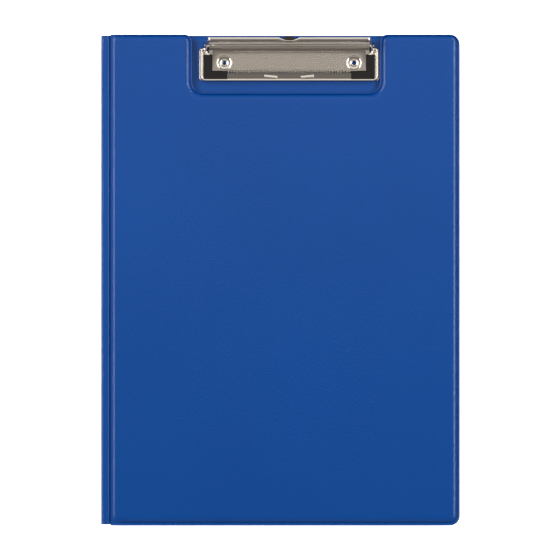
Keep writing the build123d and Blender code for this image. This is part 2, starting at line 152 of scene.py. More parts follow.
def mesh_piece(name, points, faces, material, crease=40, wall=0, bevel=0):
    """A piece from points in millimetres: smooth but for its creases, with a wall where asked."""
    mesh = bpy.data.meshes.new(name)
    mesh.from_pydata([[c * MM for c in p] for p in points], [], faces)
    work = bmesh.new()
    work.from_mesh(mesh)
    bmesh.ops.remove_doubles(work, verts=work.verts, dist=1e-7)
    if not wall:
        bmesh.ops.recalc_face_normals(work, faces=work.faces)
    work.to_mesh(mesh)
    work.free()
    mesh.materials.append(material)
    piece = bpy.data.objects.new(name, mesh)
    bpy.context.scene.collection.objects.link(piece)
    if wall:
        solid = piece.modifiers.new("wall", "SOLIDIFY")
        solid.thickness = wall * MM
        solid.offset = -1
        solid.use_even_offset = True
    if bevel:
        break_edges(piece, bevel, crease)
    if wall or bevel:
        bake_modifiers(piece)
    shade_smooth(piece, crease)
    return piece


def bake_modifiers(piece):
    """Turns a piece and its modifiers into a plain mesh."""
    graph = bpy.context.evaluated_depsgraph_get()
    baked = bpy.data.meshes.new_from_object(piece.evaluated_get(graph))
    piece.modifiers.clear()
    piece.data = baked


def install(piece, body, slot, *nodes):
    """Rides a piece on its body and lets it stand for CAD nodes; the slot is not used."""
    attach(piece, body)
    if nodes:
        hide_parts(*nodes)
    return piece


def arc(centre, radius, start, end, count):
    """Points on an arc, in degrees from X."""
    turn = [math.radians(start + (end - start) * i / count) for i in range(count + 1)]
    return [(centre[0] + radius * math.cos(a), centre[1] + radius * math.sin(a)) for a in turn]


def run(start, end, count):
    """Points between two others, without them."""
    return [
        tuple(a + (b - a) * i / count for a, b in zip(start, end)) for i in range(1, count)
    ]


def panel_ring(left, right, bottom, top, left_radius, right_radius, notch=None):
    """A panel's outline, anticlockwise, with the same number of points for any size."""
    bends = [
        arc((left + left_radius, bottom + left_radius), left_radius, 180, 270, 6),
        arc((right - right_radius, bottom + right_radius), right_radius, 270, 360, 10),
        arc((right - right_radius, top - right_radius), right_radius, 0, 90, 10),
    ]
    counts = [60, 84]
    if notch:
        n_left, n_right, floor, inner, mouth = notch
        bends += [
            arc((n_right + mouth, top - mouth), mouth, 90, 180, 8),
            arc((n_right - inner, floor + inner), inner, 0, -90, 10),
            arc((n_left + inner, floor + inner), inner, -90, -180, 10),
            arc((n_left - mouth, top - mouth), mouth, 0, 90, 8),
        ]
        counts += [16, 10, 32, 10, 16]
    else:
        counts += [60]
    bends.append(arc((left + left_radius, top - left_radius), left_radius, 90, 180, 6))
    counts.append(84)
    ring = []
    for index, bend in enumerate(bends):
        ring += bend
        following = bends[(index + 1) % len(bends)]
        ring += run(bend[-1], following[0], counts[index])
    return ring


def between_rings(outer, inner, share):
    """Ring sizes part of the way from an outer ring's to an inner one's."""
    mixed = [a + (b - a) * share for a, b in zip(outer[:6], inner[:6])]
    notch = None
    if outer[6]:
        notch = [a + (b - a) * share for a, b in zip(outer[6], inner[6])]
    return mixed + [notch]


least_round = 0.2
groove_end_x = -107


def draped_sheet(name, outline, board, profile, material, wall):
    """A sheet over a board: profile lists (share from outline to board, inset, height, groove).

    The groove is left out along the spine. Without a wall the sheet is a closed block.
    """
    points = []
    for share, inset, height, groove in profile:
        left, right, bottom, top, left_radius, right_radius, notch = between_rings(
            outline, board, share
        )
        if notch:
            mouth = max(least_round, notch[4] - inset)
            notch = (notch[0] - inset, notch[1] + inset, notch[2] - inset, notch[3] + inset, mouth)
        ring = panel_ring(
            left + inset, right - inset, bottom + inset, top - inset,
            max(least_round, left_radius - inset), max(least_round, right_radius - inset), notch,
        )
        points += [
            (x, y, height - groove * min(1.0, max(0.0, x - groove_end_x))) for x, y in ring
        ]
    count = len(ring)
    faces = ring_faces(len(profile), count)
    last = (len(profile) - 1) * count
    faces.append([last + i for i in range(count)])
    if not wall:
        faces.append([count - 1 - i for i in range(count)])
    if profile[-1][2] < profile[0][2]:
        faces = [tuple(reversed(face)) for face in faces]
    return mesh_piece(name, points, faces, material, crease=60, wall=wall)


def weld_profile(weld_top, board_top, depth):
    """Heights from the welded edge, over the pressed groove, to the board's face."""
    rise = board_top - weld_top
    steps = [
        (0.0, 0.0), (0.05, 0.0), (0.16, 0.0), (0.24, 0.2), (0.32, 0.65), (0.4, 0.95), (0.48, 1.0),
        (0.56, 0.9), (0.63, 0.55), (0.7, 0.2),
    ]
    bend = [
        (0.78, 0.0, 0.06), (0.86, 0.0, 0.2), (0.93, 0.0, 0.34), (1.0, 0.0, 0.48), (1.0, 0.3, 0.62),
        (1.0, 0.6, 0.74), (1.0, 0.9, 0.84), (1.0, 1.25, 0.92), (1.0, 1.7, 0.975), (1.0, 2.3, 1.0),
        (1.0, 3.0, 1.0),
    ]
    profile = [(share, 0.0, weld_top, depth * part) for share, part in steps]
    return profile + [(share, inset, weld_top + part * rise, 0.0) for share, inset, part in bend]


back_low, back_high = (Vector(v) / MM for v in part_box("back_skin"))
lining_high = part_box("board_lining")[1][2] / MM
cover_skin_low, cover_skin_high = (Vector(v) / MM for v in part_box("cover_skin"))
weld_line_x = -109.9
board_left = -108.1
side_weld, bottom_weld, top_weld, notch_weld = 3.1, 3.2, 1.8, 3.0
board_radius = 3.0
weld_layer = 0.25
spine_corner, back_corner, cover_corner = 0.4, 5.8, 6.3
lining_groove, cover_groove, cover_lining_groove = 0.2, 0.85, 0.6
vinyl = embossed_pvc("embossed_blue_pvc", "#00387a", "#003e84")
back_outline = [
    weld_line_x, back_high.x, back_low.y, back_high.y, spine_corner, back_corner, None,
]
back_board = [
    board_left, cover_skin_high.x - side_weld, cover_skin_low.y + bottom_weld,
    cover_skin_high.y - top_weld, board_radius, board_radius, None,
]
back_weld = back_high.z
back_sheet = draped_sheet(
    "back_vinyl", back_outline, back_board,
    weld_profile(back_weld - weld_layer, back_low.z, 0.0), vinyl, weld_layer,
)
install(back_sheet, "back_board", "blue_vinyl", "back_skin")
lining_sheet = draped_sheet(
    "board_lining_vinyl", back_outline, back_board,
    weld_profile(back_weld + weld_layer, lining_high, lining_groove), vinyl, weld_layer,
)
install(lining_sheet, "back_board", "blue_vinyl", "board_lining")

# Back stiffener: 2 mm grey chipboard, which gives the panel its flatness and carries the clip's
# rivets. The cover's is made the same way.


def greyboard_material():
    """Grey chipboard: pressed waste paper with flecks and a soft, matt surface."""
    material, tree, shader = new_material("grey_chipboard")
    place = add_node(tree, "ShaderNodeTexCoord").outputs["Object"]
    fleck = add_node(tree, "ShaderNodeTexNoise", {"Vector": place}, Scale=900.0, Detail=4.0)
    tint = add_node(tree, "ShaderNodeMix", {"Factor": fleck.outputs["Fac"]}, data_type="RGBA")
    tint.inputs["A"].default_value = linear("#7d766c")
    tint.inputs["B"].default_value = linear("#a39c90")
    tree.links.new(tint.outputs["Result"], shader.inputs["Base Color"])
    shader.inputs["Roughness"].default_value = 0.9
    return material


def from_cad(name, node, material, body, slot, bevel=0.0, crease=35, adjust=None):
    """A merged, smoothed copy of a CAD node with its edges broken, in the node's place."""
    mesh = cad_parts[node].data.copy()
    mesh.name = name
    work = bmesh.new()
    work.from_mesh(mesh)
    bmesh.ops.remove_doubles(work, verts=work.verts, dist=2e-6)
    if adjust:
        adjust(work)
    bmesh.ops.dissolve_limit(
        work, angle_limit=math.radians(0.5), verts=work.verts, edges=work.edges, delimit=set()
    )
    work.to_mesh(mesh)
    work.free()
    mesh.materials.clear()
    mesh.materials.append(material)
    piece = bpy.data.objects.new(name, mesh)
    bpy.context.scene.collection.objects.link(piece)
    if bevel:
        break_edges(piece, bevel, crease)
        bake_modifiers(piece)
    shade_smooth(piece, crease)
    return install(piece, body, slot, node)


def pressed_board(name, board, low, high, material):
    """A board whose edges the welding press has rounded, a little inside its sheets."""
    depth = high - low
    lower = [(3.4, 0.0), (2.3, 0.06), (1.6, 0.2), (1.2, 0.42)]
    profile = [(0.0, inset, low + share * depth, 0.0) for inset, share in lower]
    profile += [(0.0, inset, high - share * depth, 0.0) for inset, share in reversed(lower)]
    return draped_sheet(name, board, board, profile, material, 0)


sheet_room = 0.35
greyboard = greyboard_material()
back_greyboard = pressed_board(
    "back_greyboard", back_board, back_low.z + sheet_room, lining_high - sheet_room, greyboard
)
install(back_greyboard, "back_board", "greyboard", "back_stiffener")

# Front cover: the same board and welded sheets as the back panel, with a notch that goes round the
# clip. Its weld shows as a groove with a soft rise to the board on all sides but the spine.
cover_weld = cover_skin_low.z
notch_left, notch_right, notch_floor = -57.1, 64.6, 121.0
notch_round, notch_mouth = 7.5, 5.0
board_notch_round, board_notch_mouth = 9.4, 3.2
notch_floor_weld = 1.9
cover_outline = [
    weld_line_x, cover_skin_high.x, cover_skin_low.y, cover_skin_high.y, spine_corner, cover_corner,
    (notch_left, notch_right, notch_floor, notch_round, notch_mouth),
]
cover_board = back_board[:6] + [
    (
        notch_left - notch_weld, notch_right + notch_weld, notch_floor - notch_floor_weld,
        board_notch_round, board_notch_mouth,
    )
]
cover_sheet = draped_sheet(
    "cover_vinyl", cover_outline, cover_board,
    weld_profile(cover_weld + weld_layer, cover_skin_high.z, cover_groove), vinyl, weld_layer,
)
install(cover_sheet, "cover", "blue_vinyl", "cover_skin")
cover_lining_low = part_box("cover_lining")[0][2] / MM
cover_greyboard = pressed_board(
    "cover_greyboard", cover_board, cover_lining_low + sheet_room, cover_skin_high.z - sheet_room,
    greyboard,
)
install(cover_greyboard, "cover", "greyboard", "cover_stiffener")
cover_lining = draped_sheet(
    "cover_lining_vinyl", cover_outline, cover_board,
    weld_profile(cover_weld - weld_layer, cover_lining_low, cover_lining_groove), vinyl, weld_layer,
)
install(cover_lining, "cover", "blue_vinyl", "cover_lining")

# Spine: the panels' PVC sheet runs on past the last weld and folds round the left edge. It is
# soft there, so it lies in two shallow ridges and is creased where the cover has been opened.


def smooth_line(points, steps):
    """A curve through points, with steps between each two."""
    line = []
    for i in range(len(points) - 1):
        before, a, b, after = (
            Vector(points[max(0, min(len(points) - 1, k))]) for k in (i - 1, i, i + 1, i + 2)
        )
        for step in range(steps):
            t = step / steps
            line.append(
                0.5 * (2 * a + (b - before) * t + (2 * before - 5 * a + 4 * b - after) * t * t
                + (3 * a - before - 3 * b + after) * t ** 3)
            )
    line.append(Vector(points[-1]))
    return line


fold_middle, fold_top = 2.95, 5.55
fold_reach, fold_rows = 158.3, 420
fold_free_x = -110.6


def fold_sheet(name, mirror_z, material):
    """Half of the fold, from the weld at its panel to the middle of the spine.

    A slow swell and quick puckers, stronger at the fold's ends, lift it where it is free.
    """
    profile = smooth_line(
        [
            (-109.2, 4.6), (-109.7, 4.05), (-110.15, 3.85), (-110.5, 4.15), (-110.85, 4.85),
            (-111.4, 5.2), (-112.1, 5.16), (-113.6, 5.04), (-114.6, 5.02), (-115.3, 4.75),
            (-115.85, 4.15), (-116.12, 3.5), (-116.2, fold_middle),
        ],
        3,
    )
    points = []
    for row in range(fold_rows + 1):
        y = fold_reach * (2 * row / fold_rows - 1)
        end = max(0.0, (abs(y) - 140) / 18)
        for x, z in profile:
            free = min(1.0, max(0.0, (fold_free_x - x) / 1.5)) * min(1.0, (z - fold_middle) / 0.6)
            slow = noise.noise(Vector((x * 0.75 + 7 * mirror_z, y * 0.055, 3.1)))
            quick = noise.noise(Vector((x * 1.3, y * 0.32, 8.4 + mirror_z)))
            lift = free * (0.10 * slow + (0.05 + 0.16 * end) * quick)
            height = min(z + lift, fold_top)
            points.append((x, y, 2 * fold_middle - height if mirror_z else height))
    count = len(profile)
    faces = []
    for row in range(fold_rows):
        for i in range(count - 1):
            a = row * count + i
            quad = (a, a + count, a + count + 1, a + 1)
            faces.append(tuple(reversed(quad)) if mirror_z else quad)
    return mesh_piece(name, points, faces, material, crease=70, wall=0.5)


fold_front = fold_sheet("spine_fold_front", False, vinyl)
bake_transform(fold_front)
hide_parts("spine_skin")
fold_back = fold_sheet("spine_fold_back", True, vinyl)
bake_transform(fold_back)
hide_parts("spine_lining")

# Inner pocket: one sheet of smooth blue film, welded to the cover's lining on three sides and cut
# to a shallow curve at its mouth.


def pocket_film_material():
    """Glossy thin PVC film: smooth and a little uneven, so its sheen wanders."""
    material, tree, shader = new_material("glossy_blue_film")
    place = add_node(tree, "ShaderNodeTexCoord").outputs["Object"]
    wave = add_node(tree, "ShaderNodeTexNoise", {"Vector": place}, Scale=25.0, Detail=2.0)
    bump = add_node(
        tree, "ShaderNodeBump", {"Height": wave.outputs["Fac"]}, Strength=0.4, Distance=1.2 * MM
    )
    tree.links.new(bump.outputs["Normal"], shader.inputs["Normal"])
    shader.inputs["Base Color"].default_value = linear("#0a3f88")
    shader.inputs["Roughness"].default_value = 0.16
    shader.inputs["IOR"].default_value = 1.53
    return material


from_cad("pocket_film", "inner_pocket", pocket_film_material(), "cover", "pocket_film", bevel=0.05)

# Clip base plate: nickel-plated sheet steel, raised on its turned-down edge and rolled up over the
# rod at its rear. Its top is knurled between the rivets, and the knurl runs over the front bend.


def nickel_plate(name, colour, roughness, scratch=0.03):
    """Bright nickel on pressed steel: warm grey, mirror-like, with faint rubbing marks."""
    material, tree, shader = new_material(name)
    place = add_node(tree, "ShaderNodeTexCoord").outputs["Object"]
    long = add_node(tree, "ShaderNodeMapping", {"Vector": place}, Scale=(40.0, 900.0, 900.0))
    rub = add_node(
        tree, "ShaderNodeTexNoise", {"Vector": long.outputs["Vector"]}, Scale=1.0, Detail=3.0
    )
    rough = add_node(tree, "ShaderNodeMapRange", {"Value": rub.outputs["Fac"]})
    rough.inputs["To Min"].default_value = roughness
    rough.inputs["To Max"].default_value = roughness + 0.12
    bump = add_node(
        tree, "ShaderNodeBump", {"Height": rub.outputs["Fac"]}, Strength=0.25, Distance=scratch * MM
    )
    tree.links.new(rough.outputs["Result"], shader.inputs["Roughness"])
    tree.links.new(bump.outputs["Normal"], shader.inputs["Normal"])
    shader.inputs["Base Color"].default_value = linear(colour)
    shader.inputs["Metallic"].default_value = 1.0
    return material


def knurl_tree():
    """Staggered rows of round-topped points."""
    tree = bpy.data.node_groups.new("knurl", "GeometryNodeTree")
    for name, kind in (
        ("Columns", "Int"), ("Rows", "Int"), ("Pitch", "Float"), ("Row Pitch", "Float"),
        ("Corner", "Vector"), ("Point Size", "Vector"), ("Material", "Material"),
    ):
        tree.interface.new_socket(name=name, in_out="INPUT", socket_type="NodeSocket" + kind)
    tree.interface.new_socket(name="Geometry", in_out="OUTPUT", socket_type="NodeSocketGeometry")
    inputs = tree.nodes.new("NodeGroupInput")
    column_step = add_node(tree, "ShaderNodeCombineXYZ", {"X": inputs.outputs["Pitch"]})
    row_step = add_node(tree, "ShaderNodeCombineXYZ", {"Y": inputs.outputs["Row Pitch"]})
    columns = add_node(
        tree, "GeometryNodeMeshLine",
        {"Count": inputs.outputs["Columns"], "Offset": column_step.outputs[0]},
    )
    rows = add_node(
        tree, "GeometryNodeMeshLine",
        {
            "Count": inputs.outputs["Rows"], "Offset": row_step.outputs[0],
            "Start Location": inputs.outputs["Corner"],
        },
    )
    index = add_node(tree, "GeometryNodeInputIndex")
    odd = add_node(tree, "ShaderNodeMath", {0: index.outputs[0]}, operation="MODULO")
    odd.inputs[1].default_value = 2.0
    half = add_node(tree, "ShaderNodeMath", {0: inputs.outputs["Pitch"]}, operation="MULTIPLY")
    half.inputs[1].default_value = 0.5
    shift = add_node(
        tree, "ShaderNodeMath", {0: odd.outputs[0], 1: half.outputs[0]}, operation="MULTIPLY"
    )
    offset = add_node(tree, "ShaderNodeCombineXYZ", {"X": shift.outputs[0]})
    staggered = add_node(
        tree, "GeometryNodeSetPosition",
        {"Geometry": rows.outputs["Mesh"], "Offset": offset.outputs[0]},
    )
    grid = add_node(
        tree, "GeometryNodeInstanceOnPoints",
        {"Points": staggered.outputs["Geometry"], "Instance": columns.outputs["Mesh"]},
    )
    places = add_node(tree, "GeometryNodeRealizeInstances", {"Geometry": grid.outputs["Instances"]})
    point = add_node(tree, "GeometryNodeMeshIcoSphere", Subdivisions=2)
    point.inputs["Radius"].default_value = 1.0
    round_point = add_node(tree, "GeometryNodeSetShadeSmooth", {"Geometry": point.outputs["Mesh"]})
    points = add_node(
        tree, "GeometryNodeInstanceOnPoints",
        {
            "Points": places.outputs["Geometry"],
            "Instance": round_point.outputs["Geometry"],
            "Scale": inputs.outputs["Point Size"],
        },
    )
    real = add_node(tree, "GeometryNodeRealizeInstances", {"Geometry": points.outputs["Instances"]})
    coated = add_node(
        tree, "GeometryNodeSetMaterial",
        {"Geometry": real.outputs["Geometry"], "Material": inputs.outputs["Material"]},
    )
    add_node(tree, "NodeGroupOutput", {"Geometry": coated.outputs["Geometry"]})
    return tree


def grown(name, tree, values):
    """A plain mesh made by a Geometry Nodes tree with the given inputs."""
    seed = bpy.data.meshes.new(name)
    piece = bpy.data.objects.new(name, seed)
    bpy.context.scene.collection.objects.link(piece)
    modifier = piece.modifiers.new(name, "NODES")
    modifier.node_group = tree
    for item in tree.interface.items_tree:
        if item.item_type == "SOCKET" and item.in_out == "INPUT" and item.name in values:
            modifier[item.identifier] = values[item.name]
    bake_modifiers(piece)
    return piece


plate_low, plate_high = (Vector(v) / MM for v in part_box("clip_base_plate"))
clip_x = (plate_low.x + plate_high.x) / 2
face_z = plate_low.z
channel_radius, rod_height, deck_height = 2.25, 3.4, 2.2
rod_y = plate_high.y - channel_radius
rod_z = face_z + rod_height
deck_z = face_z + deck_height
plate_front = plate_low.y
plate_edge, plate_edge_drop = 0.6, 1.1
knurled_nickel = nickel_plate("knurled_nickel_plate", "#aba49c", 0.24)
rivet_reach, rivet_y = 42.05, -10.6
dish_opening = 4.7


def finish_plate(work):
    """Bends the plate's front edge down and opens its top for the pressed dishes."""
    bmesh.ops.bisect_plane(
        work, geom=work.verts[:] + work.edges[:] + work.faces[:], dist=1e-7,
        plane_co=(0, (plate_front + plate_edge) * MM, 0), plane_no=(0, 1, 0),
    )
    in_dish = []
    for vert in work.verts:
        x = vert.co.x / MM - clip_x
        y = vert.co.y / MM - rod_y
        if vert.co.y / MM < plate_front + plate_edge - 0.05 and vert.co.z / MM > deck_z - 0.4:
            vert.co.z -= plate_edge_drop * MM
        if math.hypot(abs(x) - rivet_reach, y - rivet_y) < dish_opening:
            in_dish.append(vert)
    bmesh.ops.delete(work, geom=in_dish, context="VERTS")


def sided(name, side):
    """A piece's name with its side: -1 is left and 1 is right."""
    return name + ("_left" if side < 0 else "_right")


def plate_wing(side, material):
    """The plate's short wing behind a grip, with the channel's end over it."""
    section = [
        (-5.2, 0.05), (-5.2, 2.1), (-5.1, deck_height), (-channel_radius, deck_height),
        (-channel_radius, rod_height),
    ]
    section += arc((0, rod_height), channel_radius, 174, 6, 28)
    section += [(channel_radius, rod_height), (channel_radius, 1.7), (0.0, 1.7), (0.0, 0.05)]
    slices = [(49.9, 1.0), (51.75, 1.0), (51.9, 0.96)]
    middle = 2.0
    points = []
    for x, scale in slices:
        points += [
            (clip_x + side * x, rod_y + y * scale, face_z + middle + (z - middle) * scale)
            for y, z in section
        ]
    count = len(section)
    faces = [tuple(range(count)), tuple(range(3 * count - 1, 2 * count - 1, -1))]
    faces += ring_faces(len(slices), count)
    return mesh_piece(sided("plate_wing", side), points, faces, material)


def turned(name, profile, centre, way, material, count=64, wall=0, crease=50):
    """A piece turned about an axis: profile lists (radius, place along the axis)."""
    points = []
    for radius, along in profile:
        for i in range(count):
            a = 2 * math.pi * i / count
            u, v = radius * math.cos(a), radius * math.sin(a)
            place = (along, u, v) if way == "X" else (u, v, along)
            points.append(tuple(c + d for c, d in zip(centre, place)))
    faces = ring_faces(len(profile), count)
    return mesh_piece(name, points, faces, material, crease=crease, wall=wall)


from_cad(
    "base_plate", "clip_base_plate", knurled_nickel, "back_board", "knurled_steel", bevel=0.12,
    adjust=finish_plate,
)
bright_nickel = nickel_plate("bright_nickel_plate", "#d8d2ca", 0.07)
for side in (-1, 1):
    bowl = turned(
        sided("plate_dish", side),
        [
            (5.35, 2.2), (5.17, 2.24), (5.03, 2.14), (4.93, 1.92), (4.82, 1.7), (4.68, 1.52),
            (4.5, 1.38), (4.28, 1.26), (4.02, 1.15), (3.72, 1.05), (3.4, 0.98), (3.0, 0.92),
            (2.5, 0.9), (1.9, 0.9),
        ],
        (clip_x + side * rivet_reach, rod_y + rivet_y, face_z), "Z", bright_nickel,
        wall=0.35, crease=70,
    )
    install(bowl, "back_board", "knurled_steel")
for side in (-1, 1):
    install(plate_wing(side, knurled_nickel), "back_board", "knurled_steel")
knurl = knurl_tree()
knurl_half, teeth_half = 35.0, 39.3
knurl_points = grown(
    "plate_knurl", knurl,
    {
        "Columns": 32, "Rows": 11, "Pitch": 2.25 * MM, "Row Pitch": 1.2 * MM,
        "Corner": ((clip_x - knurl_half) * MM, (plate_front + 1.5) * MM, deck_z * MM),
        "Point Size": (0.66 * MM, 0.42 * MM, 0.34 * MM), "Material": knurled_nickel,
    },
)
install(knurl_points, "back_board", "knurled_steel")
front_teeth = grown(
    "plate_front_knurl", knurl,
    {
        "Columns": 43, "Rows": 1, "Pitch": 1.87 * MM, "Row Pitch": 1.0 * MM,
        "Corner": ((clip_x - teeth_half) * MM, (plate_front + 0.2) * MM, (deck_z - 0.35) * MM),
        "Point Size": (0.44 * MM, 0.62 * MM, 0.42 * MM), "Material": knurled_nickel,
    },
)
install(front_teeth, "back_board", "knurled_steel")

# Rivets and washers: hollow nickel-plated rivets, domed in the plate's dishes and clinched over a
# washer inside the back board.
for side in (-1, 1):
    rivet = turned(
        sided("hollow_rivet", side),
        [
            (2.62, 0.88), (2.66, 1.02), (2.58, 1.22), (2.38, 1.38), (2.12, 1.47), (1.85, 1.5),
            (1.6, 1.46), (1.42, 1.34), (1.3, 1.12), (1.22, 0.8), (1.18, 0.2), (1.18, -2.2),
            (1.35, -2.27), (2.6, -2.27), (2.9, -2.2), (2.95, -2.05), (2.8, -1.92), (1.72, -1.86),
            (1.7, -1.6), (1.7, 0.8), (2.62, 0.88),
        ],
        (clip_x + side * rivet_reach, rod_y + rivet_y, face_z), "Z", bright_nickel,
    )
    install(rivet, "back_board", "nickel_steel", *(["clip_rivets"] if side < 0 else []))
from_cad("clinch_washers", "rivet_washers", bright_nickel, "back_board", "nickel_steel", bevel=0.08)

# Rod: a plain nickel-plated steel rod in the plate's channel, which the lever turns on. Its ends
# are headed a little outside the lever's ears.
rod_profile = [(0.0, -55.05), (0.6, -55.02), (0.95, -54.88), (1.0, -54.7), (0.85, -54.65)]
rod_profile += [(radius, -along) for radius, along in reversed(rod_profile)]
rod = turned("rod", rod_profile, (clip_x, rod_y, rod_z), "X", bright_nickel, count=32)
install(rod, "back_board", "nickel_steel", "hinge_rod")

# Torsion springs: two coils of drawn spring wire on the rod, which shut the jaw. Each has one leg
# on the plate's side and one behind the thumb lever, and that rear leg follows the lever.
spring_wire = nickel_plate("drawn_spring_wire", "#8e8b86", 0.25)


def lever_spring(name, node):
    """A merged, smoothly shaded copy of a CAD spring in spring wire, in the node's place."""
    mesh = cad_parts[node].data.copy()
    mesh.name = name
    work = bmesh.new()
    work.from_mesh(mesh)
    bmesh.ops.remove_doubles(work, verts=work.verts, dist=2e-6)
    work.to_mesh(mesh)
    work.free()
    mesh.materials.clear()
    mesh.materials.append(spring_wire)
    mesh.polygons.foreach_set("use_smooth", [True] * len(mesh.polygons))
    spring = bpy.data.objects.new(name, mesh)
    bpy.context.scene.collection.objects.link(spring)
    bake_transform(spring)
    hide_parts(node)
    return spring


lever_spring("spring_left", "torsion_spring_left")
lever_spring("spring_right", "torsion_spring_right")

# Clip lever: jaw, side arms, ears and thumb lever pressed from one nickel-plated sheet. The jaw's
# web slopes down to a rolled bead, and each arm has a small lip outside its bead. Two short ramps
# are pressed into the jaw. The thumb lever steps up over the channel to a rolled lip.


def clip_point(x, y, z):
    """A point of the clip's own frame, about the board's face under the rod."""
    return (clip_x + x, rod_y + y, face_z + z)


def frame_ring(inset):
    """The lever frame's U outline from one ear round the jaw to the other."""
    half = 57.4 - inset
    front = inset - 22.4
    rear = -1.2 - inset
    front_round = max(3.0 - inset, 0.4)
    rear_round = max(2.3 - inset, 0.3)
    start = [(-(half - rear_round) + 1.5 * (1 - k / 3), rear) for k in range(3)]
    line = start + arc((-half + rear_round, rear - rear_round), rear_round, 90, 180, 8)
    line += run(line[-1], (-half, front + front_round), 12)
    line += arc((-half + front_round, front + front_round), front_round, 180, 270, 10)
    line += run(line[-1], (0, front), 16)
    return line + [(0, front)] + [(-x, y) for x, y in reversed(line)]


def lever_frame(material):
    """The jaw bar and arms as one strip swept round the frame's outline."""
    section = [
        (0.0, 0.2), (0.0, 2.2), (0.06, 2.52), (0.2, 2.68), (0.36, 2.72), (1.16, 2.72), (1.3, 2.66),
        (1.38, 2.5), (1.44, 2.0), (1.6, 1.84), (2.3, 2.0), (3.0, 2.08), (3.6, 2.2), (4.3, 2.29),
        (5.1, 2.5), (5.1, 2.0), (2.3, 1.45), (1.7, 1.4), (1.0, 2.2), (0.5, 2.1), (0.5, 0.2),
    ]
    points = []
    faces = []
    for inset, height in section:
        points += [clip_point(x, y, height) for x, y in frame_ring(inset)]
    count = len(frame_ring(0))
    for row in range(len(section)):
        below = row * count
        above = (row + 1) % len(section) * count
        for i in range(count - 1):
            faces.append((below + i, below + i + 1, above + i + 1, above + i))
    for end in (0, count - 1):
        faces.append([row * count + end for row in range(len(section))])
    return mesh_piece("lever_frame", points, faces, material, crease=50)


def arm_lip(side, material):
    """The small lip that runs along the outside of an arm."""
    section = [
        (0.0, 0.2), (0.0, 0.84), (0.07, 0.96), (0.2, 1.0), (0.32, 0.94), (0.36, 0.8),
        (0.36, 0.2),
    ]
    line = arc((-56.2, -3.4), 2.2, 118, 180, 10) + run((-58.4, -3.4), (-58.4, -19.8), 10)
    line += arc((-55.9, -19.8), 2.5, 180, 250, 12)
    points = []
    for k, (x, y) in enumerate(line):
        before, after = line[max(0, k - 1)], line[min(len(line) - 1, k + 1)]
        along = Vector((after[0] - before[0], after[1] - before[1])).normalized()
        for inset, height in section:
            points.append(clip_point(-side * (x - along.y * inset), y + along.x * inset, height))
    count = len(section)
    faces = [tuple(range(count)), tuple(range(len(points) - 1, len(points) - 1 - count, -1))]
    faces += ring_faces(len(line), count)
    return mesh_piece(sided("arm_lip", side), points, faces, material, crease=60)


def ear_middle(height):
    """How far out the middle of an ear's sheet is at a height: the ears lean in by 22 degrees."""
    return 54.8 - (height - 2.4) * math.tan(math.radians(22))


def lever_ear(side, material):
    """An ear: a leaning cheek from the arm, round the rod and up to the thumb lever's lip."""
    edge = [
        (-4.3, 2.1), (-4.35, 2.7), (-3.6, 3.9), (-2.5, 5.1), (-1.3, 6.0), (0.0, 6.9), (0.9, 8.3),
        (1.9, 9.7), (2.6, 10.75), (3.4, 10.95), (4.4, 10.8), (4.75, 10.2), (4.5, 8.9), (3.6, 6.9),
        (2.7, 4.9), (2.3, 3.2), (1.75, 1.95), (0.5, 1.2), (-1.0, 1.35), (-2.4, 1.75), (-4.3, 2.1),
    ]
    outline = smooth_line(edge, 3)[:-1]
    middle = (0.2, 6.0)
    layers = [(-0.4, 0.93), (-0.34, 0.98), (-0.15, 1.0), (0.15, 1.0), (0.34, 0.98), (0.4, 0.93)]
    points = []
    for offset, scale in layers:
        for edge_y, edge_z in outline:
            y = middle[0] + (edge_y - middle[0]) * scale
            z = middle[1] + (edge_z - middle[1]) * scale
            points.append(clip_point(side * (ear_middle(z) + offset), y, z))
    count = len(outline)
    last = (len(layers) - 1) * count
    faces = [tuple(range(count)), tuple(last + count - 1 - i for i in range(count))]
    faces += ring_faces(len(layers), count)
    return mesh_piece(sided("lever_ear", side), points, faces, material, crease=60)


def thumb_lever(material):
    """The thumb lever's sheet, its ends cut to the ears' lean and its lip dipped in the middle."""
    front, depth = 1.65, 3.05
    dip_depth, dip_half = 2.1, 6.6
    line = smooth_line(
        [
            (front, 6.9), (1.74, 7.1), (1.94, 7.32), (2.16, 7.6), (2.38, 8.0),
            (2.54, 8.6), (2.95, 10.2), (3.12, 10.6), (3.45, 10.76), (3.95, 10.78),
            (4.4, 10.7), (4.66, 10.4), (4.7, 9.9), (4.66, 9.45),
        ],
        3,
    )
    shares = [-1 + 2 * i / 160 for i in range(161)]
    points = []
    for y, z in line:
        reach = ear_middle(z) + 0.38
        for share in shares:
            x = share * reach
            rear = max(0.0, (y - front) / depth)
            dip = dip_depth * rear * max(0.0, 1 - (x / dip_half) ** 2)
            points.append(clip_point(x, y - dip, z))
    count = len(shares)
    faces = []
    for row in range(len(line) - 1):
        for i in range(count - 1):
            a = row * count + i
            faces.append((a, a + 1, a + count + 1, a + count))
    return mesh_piece("thumb_lever", points, faces, material, crease=60, wall=0.7, bevel=0.06)


def jaw_ramp(side, material):
    """A short level step pressed up from the jaw's web, turned a little across it."""
    middle_x, middle_y, slant = 11.85, -19.7, 0.1
    layers = [(0.9, 2.0), (0.88, 2.66), (0.83, 2.73), (0.75, 2.75)]
    points = []
    for half, z in layers:
        long = 3.25 + half
        for u, v in ((-long, -half), (long, -half), (long, half), (-long, half)):
            points.append(clip_point(side * (middle_x + u), middle_y + slant * u + v, z))
    faces = [(0, 1, 2, 3), (15, 14, 13, 12)] + ring_faces(len(layers), 4)
    return mesh_piece(sided("jaw_ramp", side), points, faces, material, crease=60)


